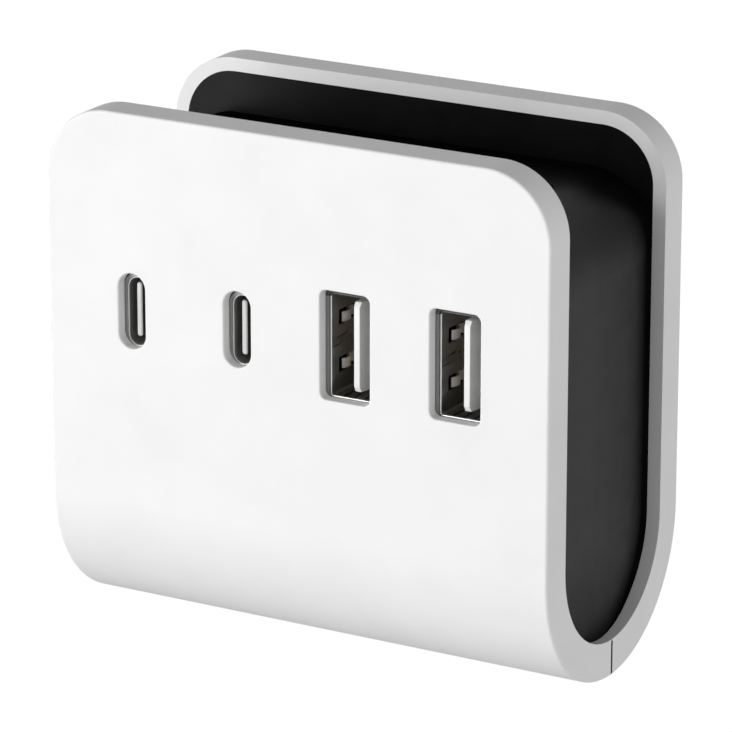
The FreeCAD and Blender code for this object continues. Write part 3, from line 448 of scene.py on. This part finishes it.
def place_piece(thing, centre, slot, node=None, material=None):
    """Scale a thing built in millimetres to metres, put it in place and make it part of the unit."""
    thing.data.transform(Matrix.Translation(centre) @ Matrix.Scale(MM, 4))
    thing.data.shade_smooth()
    thing.data.set_sharp_from_angle(angle=math.radians(38.0))
    if not thing.data.materials:
        thing.data.materials.append(material or LOOKS[slot])
    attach(thing, "root")
    if node:
        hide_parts(node)


# ---------------------------------------------------------------- USB receptacles
# Sizes here are in millimetres from the middle of a receptacle's mouth: x across, y inwards and z up.

SHEET = 0.3
WIDE_HALF_X, WIDE_HALF_Z, WIDE_CORNER, WIDE_FLANGE = 2.55, 6.25, 0.35, 0.88
SLIM_HALF_X, SLIM_HALF_Z, SLIM_FLANGE = 1.28, 4.17, 0.65
WIDE_BEAD, SLIM_BEAD, LOW_BEAD, LOW_BEAD_INSET = 0.09, 0.08, 0.12, 0.2

# The seam's pieces in the USB-A shell's wall, each from one (y, z) to another.
SEAM_LINES = (((0.2, -0.38), (2.05, -0.38)), ((2.05, -0.38), (2.35, -0.05)),
              ((1.35, 0.30), (1.55, 0.62)), ((1.75, 0.50), (3.45, 0.62)), ((3.45, 0.62), (3.75, 1.05)),
              ((4.15, 0.26), (4.7, 0.30)), ((4.15, -0.42), (4.6, -0.45)))
SEAM_WIDTH, SEAM_DEPTH = 0.13, 0.5

# A spring finger's bends, each (how far inside the wall, y), from its root to its tip.
FINGER_PATH = ((-0.15, 5.8), (-0.4, 5.2), (-0.4, 4.3), (0.22, 3.95), (0.34, 3.75), (0.34, 3.05),
               (0.24, 2.7), (0.02, 2.3))
FINGER_SHEET, FINGER_HALF_Z, FINGER_Z = 0.2, 0.6, 2.85

# The USB-A tongue's sections, each (thickness, how much shorter at either end, distance from the tip).
TONGUE_SECTIONS = ((0.72, 0.65, 0.0), (0.84, 0.0, 0.3), (1.06, 0.0, 1.3), (1.06, 0.0, 3.0), (1.3, 0.0, 4.0),
                   (1.3, 0.0, 10.2))
# Half its height, the x of its flat face, the y of its tip and how far its edges are rounded.
TONGUE_HALF_Z, TONGUE_FACE_X, TONGUE_TIP, TONGUE_EDGE = 5.45, 0.1, 0.6, 0.05


def socket_place(node):
    """The middle of a receptacle's mouth in metres, and how deep its shell is in millimetres."""
    low, high = (Vector(corner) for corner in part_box(node))
    return Vector(((low.x + high.x) / 2, low.y, (low.z + high.z) / 2)), (high.y - low.y) / MM


def sheet_profile(depth, bead, flange, inset=0.0):
    """Round the wall of a drawn shell: inside, over the rolled bead at its mouth, across the flange and back.
    inset is how far the bead stands into the mouth."""
    throat, swell = 0.8, 0.45
    groove_width, groove_depth = 0.07, 0.18
    face, bevel, fillet = -0.05, 0.06, 0.25
    turns = [math.radians(angle) for angle in range(0, 181, 20)]
    bead_edge = bead * 2 - inset
    groove_edge = bead_edge + groove_width
    inside = [(0.0, depth), (0.0, throat), (-inset, swell)]
    rim = [(bead * (1 - math.cos(turn)) - inset, bead * (1 - math.sin(turn))) for turn in turns]
    front = [(bead_edge, groove_depth), (groove_edge, groove_depth), (groove_edge + bevel / 2, face),
             (flange - bevel, face), (flange, face + bevel), (flange, SHEET)]
    outside = [(SHEET + fillet * 0.6, SHEET + fillet * 0.4), (SHEET, SHEET + fillet), (SHEET, depth)]
    return inside + rim + front + outside


def wide_cuts():
    """The cuts in a USB-A shell: windows through both walls, the seam in one, and slots at the ends."""
    through = 2 * WIDE_HALF_X + 2.0
    window_y, window_z, window_length, window_height = 3.65, 2.9, 3.9, 1.8
    cuts = [((0.0, window_y, window_z * side), (through, window_length, window_height), 0.0)
            for side in (-1, 1)]

    wall = -WIDE_HALF_X - 0.1
    for (start_y, start_z), (end_y, end_z) in SEAM_LINES:
        middle = (wall, (start_y + end_y) / 2, (start_z + end_z) / 2)
        length = math.hypot(end_y - start_y, end_z - start_z) + SEAM_WIDTH
        tilt = math.degrees(math.atan2(end_z - start_z, end_y - start_y))
        cuts.append((middle, (SEAM_DEPTH, length, SEAM_WIDTH), tilt))

    slot_y, slot_z, slot_size = 2.3, WIDE_HALF_Z + SHEET / 2, (0.3, 2.6, 0.6)
    for x in (-1.35, -0.1, 1.3):
        for side in (-1, 1):
            cuts.append(((x, slot_y, slot_z * side), slot_size, 0.0))
    return cuts


def on_shaded_lip(spot):
    """Whether a place on a USB-A shell is on the lip along its top or its right-hand side."""
    at_top = spot.z > WIDE_HALF_Z - 0.3
    at_right = spot.x > WIDE_HALF_X - 0.1 and spot.z > 0.3 - WIDE_HALF_Z
    return spot.y < 0.4 and (at_top or at_right)


def make_wide_shell(name, centre, depth):
    shape = sweep(WIDE_HALF_X, WIDE_HALF_Z, WIDE_CORNER, sheet_profile(depth, WIDE_BEAD, WIDE_FLANGE),
                  sheet_profile(depth, LOW_BEAD, WIDE_FLANGE, LOW_BEAD_INSET))
    shell = as_object(f"{name}_shell_detail", shape)
    carve(shell, wide_cuts())
    paint(shell, LOOKS["port_metal"], SHADED_LIP, on_shaded_lip)
    place_piece(shell, centre, "port_metal", f"{name}_shell")


def make_spring_fingers(name, centre):
    """Two spring fingers in each side wall. The lower ones are gilt where they touch the plug."""
    gilt_start, gilt_end = 3.0, 4.0
    fingers = bmesh.new()
    for side in (-1, 1):
        for wall in (-1, 1):
            path = [(wall * (WIDE_HALF_X - x), y) for x, y in FINGER_PATH]
            middle = FINGER_Z * side
            finger = strip(path, FINGER_SHEET, middle - FINGER_HALF_Z, middle + FINGER_HALF_Z)
            flat = bpy.data.meshes.new("finger")
            finger.to_mesh(flat)
            finger.free()
            fingers.from_mesh(flat)
            bpy.data.meshes.remove(flat)
    for face in fingers.faces:
        spot = face.calc_center_median()
        face.material_index = int(spot.z < 0 and gilt_start < spot.y < gilt_end)
    springs = as_object(f"{name}_spring_fingers", fingers)
    soften(springs, 0.05)
    springs.data.materials.append(SPRING_METAL)
    springs.data.materials.append(GILT_SPRING)
    place_piece(springs, centre, "port_metal")


def make_wide_tongue(name, centre, depth):
    """The tongue with its bevelled tip, and the block behind it that closes the shell."""
    sections = []
    for thickness, shorter, back in TONGUE_SECTIONS:
        half_x, half_z = thickness / 2, TONGUE_HALF_Z - shorter
        sections.append((half_x, half_z, TONGUE_EDGE, TONGUE_TIP + back, TONGUE_FACE_X + half_x))
    tongue = as_object(f"{name}_tongue_detail", loft(sections))
    soften(tongue, TONGUE_EDGE, segments=3, angle=20.0)
    place_piece(tongue, centre, "tongue_white", f"{name}_tongue")

    half_x, half_z, corner, front = 2.5, 5.85, 0.2, 10.8
    block = loft([(half_x, half_z, corner, y, 0.0) for y in (front, depth)])
    base = as_object(f"{name}_base_detail", block)
    soften(base, 0.12)
    place_piece(base, centre, "tongue_white")


def make_wide_socket(number):
    """USB-A: a shell with windows, a dovetailed seam and spring fingers, round a bevelled tongue."""
    name = f"usb_a_port_{number}"
    centre, depth = socket_place(f"{name}_shell")
    make_wide_shell(name, centre, depth)
    make_spring_fingers(name, centre)
    make_wide_tongue(name, centre, depth)


def make_slim_socket(number):
    """USB-C: a seamless shell with a curled lip round a thin tongue, which is black behind its tip."""
    name = f"usb_c_port_{number}"
    centre, depth = socket_place(f"{name}_shell")
    shape = sweep(SLIM_HALF_X, SLIM_HALF_Z, SLIM_HALF_X, sheet_profile(depth, SLIM_BEAD, SLIM_FLANGE),
                  sheet_profile(depth, LOW_BEAD, SLIM_FLANGE))
    shell = as_object(f"{name}_shell_detail", shape)
    place_piece(shell, centre, "port_metal", f"{name}_shell", SLIM_METAL)

    tip_end, lift = 0.4, Vector((0.0, 0.0, 0.2 * MM))
    tip = ((0.25, 3.22, 0.2, 0.2, 0.0), (0.35, 3.35, 0.3, 0.36, 0.0))
    blade = ((0.35, 3.35, 0.3, 4.9, 0.0), (0.6, 3.5, 0.3, 5.3, 0.0), (0.6, 3.5, 0.3, 6.5, 0.0))
    root = ((1.2, 4.0, 0.9, 6.6, 0.0), (1.2, 4.0, 0.9, depth, 0.0))
    tongue = as_object(f"{name}_tongue_detail", loft(tip + blade + root))
    soften(tongue, 0.05, angle=30.0)
    paint(tongue, LOOKS["tongue_grey"], LOOKS["header_black"], lambda spot: spot.y > tip_end)
    place_piece(tongue, centre + lift, "tongue_grey", f"{name}_tongue")


for number in (1, 2):
    make_wide_socket(number)
    make_slim_socket(number)


# ---------------------------------------------------------------- fixing inserts

def insert_shape(outer, length):
    """A knurled barrel with a groove round it and a threaded bore, hanging from z 0. Millimetres."""
    bore, pitch, thread, knurl, sides = 1.65, 0.7, 0.22, 0.06, 60
    mouth, edge, shoulder, chamfer = 0.45, 0.2, 0.25, 0.3
    groove, groove_height, groove_depth, slope = -length * 0.6, 1.2, 0.4, 0.15
    half_turns = 2 * int(length / pitch)
    threads = [(bore + thread * (half % 2), -pitch * (half + 1) / 2) for half in range(half_turns)]
    walls = [(bore + mouth, 0.0), (bore + edge, -edge), *threads, (bore + mouth, -length)]
    walls += [(outer - chamfer, -length), (outer, chamfer - length)]
    walls += [(outer, groove), (outer - groove_depth, groove + slope)]
    walls += [(outer - groove_depth, groove + groove_height - slope), (outer, groove + groove_height)]
    walls += [(outer, -shoulder), (outer - edge, 0.0)]
    shape = bmesh.new()
    rings = [round_ring(shape, radius, level, sides, knurl if radius == outer else 0.0)
             for radius, level in walls]
    bridge(shape, rings, closed=True)
    return shape


def make_inserts():
    """The two brass inserts. The left one stands for the CAD node, which holds both."""
    low, high = (Vector(corner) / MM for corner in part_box("fixing_inserts"))
    outer = 2.8
    reach = (high.x - low.x) / 2 - outer
    for side, hand, node in ((-1, "left", "fixing_inserts"), (1, "right", None)):
        insert = as_object(f"fixing_insert_{hand}", insert_shape(outer, high.z - low.z))
        place_piece(insert, Vector((reach * side, 0.0, high.z)) * MM, "insert_brass", node)


make_inserts()


# ---------------------------------------------------------------- floor, light and camera

def make_floor():
    """A pale floor that curves up into a round wall. Only the camera sees it, so it adds no light."""
    flat, curve, wall, level, sides = 2.6, 0.6, 2.4, -0.22, 96
    turns = [math.radians(angle) for angle in range(10, 91, 10)]
    profile = [(flat, level)]
    profile += [(flat + curve * math.sin(turn), level + curve * (1 - math.cos(turn))) for turn in turns]
    profile.append((flat + curve, level + curve + wall))
    shape = bmesh.new()
    rings = [round_ring(shape, radius, height, sides) for radius, height in profile]
    shape.faces.new(rings[0])
    bridge(shape, rings)
    mesh = bpy.data.meshes.new("studio_floor")
    shape.to_mesh(mesh)
    shape.free()
    mesh.shade_smooth()
    floor = bpy.data.objects.new("studio_floor", mesh)
    bpy.context.scene.collection.objects.link(floor)
    look = Look("pale_floor")
    look.tint(look.noise(0.4), grey(0.90), grey(0.93))
    look.set(Roughness=0.8, Emission_Color=(*grey(1.0), 1.0), Emission_Strength=1.0)
    mesh.materials.append(look.material)
    for ray in ("diffuse", "glossy", "transmission", "shadow"):
        setattr(floor, f"visible_{ray}", False)


def make_world(below, above):
    """Soft studio surroundings, of one strength below the horizon and another above it."""
    world = bpy.data.worlds.new("studio")
    bpy.context.scene.world = world
    world.use_nodes = True
    tree = world.node_tree
    background = tree.nodes["Background"]
    background.inputs["Color"].default_value = (1.0, 1.0, 1.0, 1.0)
    where = tree.nodes.new("ShaderNodeTexCoord").outputs["Generated"]
    split = tree.nodes.new("ShaderNodeSeparateXYZ")
    tree.links.new(where, split.inputs["Vector"])

    rise = tree.nodes.new("ShaderNodeMapRange")
    rise.interpolation_type = "SMOOTHSTEP"
    for key, number in (("From Min", -0.15), ("From Max", 0.25), ("To Min", below), ("To Max", above)):
        rise.inputs[key].default_value = number
    tree.links.new(split.outputs["Z"], rise.inputs["Value"])
    tree.links.new(rise.outputs["Result"], background.inputs["Strength"])


def aim(thing, place, target):
    thing.location = place
    thing.rotation_euler = (Vector(target) - Vector(place)).to_track_quat("-Z", "Y").to_euler()


def make_light(name, direction, watts):
    """A square soft light that points at the middle of the unit from the given direction."""
    side, distance, middle = 1.0, 1.2, Vector((0.0, 0.0, -0.025))
    data = bpy.data.lights.new(name, "AREA")
    data.shape = "SQUARE"
    data.size = side
    data.energy = watts
    lamp = bpy.data.objects.new(name, data)
    bpy.context.scene.collection.objects.link(lamp)
    aim(lamp, middle + Vector(direction).normalized() * distance, middle)


def make_camera():
    """A long lens, to the right of the unit and a little above it."""
    down, round_to_the_right = 17.93, 29.70
    data = bpy.data.cameras.new("photo_camera")
    data.sensor_width = 36.0
    data.lens = 237.3
    data.clip_start, data.clip_end = 0.01, 20.0
    camera = bpy.data.objects.new("photo_camera", data)
    bpy.context.scene.collection.objects.link(camera)
    camera.location = (0.27165, -0.47583, 0.15205)
    camera.rotation_euler = (math.radians(90.0 - down), 0.0, math.radians(round_to_the_right))
    bpy.context.scene.camera = camera


make_floor()
make_world(below=0.39, above=0.28)
make_light("key_front_left", (-0.62, -0.76, 0.14), 12.7)
make_light("low_front", (-0.20, -0.97, -0.05), 1.1)
make_light("side_right", (0.97, -0.12, -0.035), 4.35)
make_camera()
bpy.context.scene.view_settings.view_transform = "Standard"
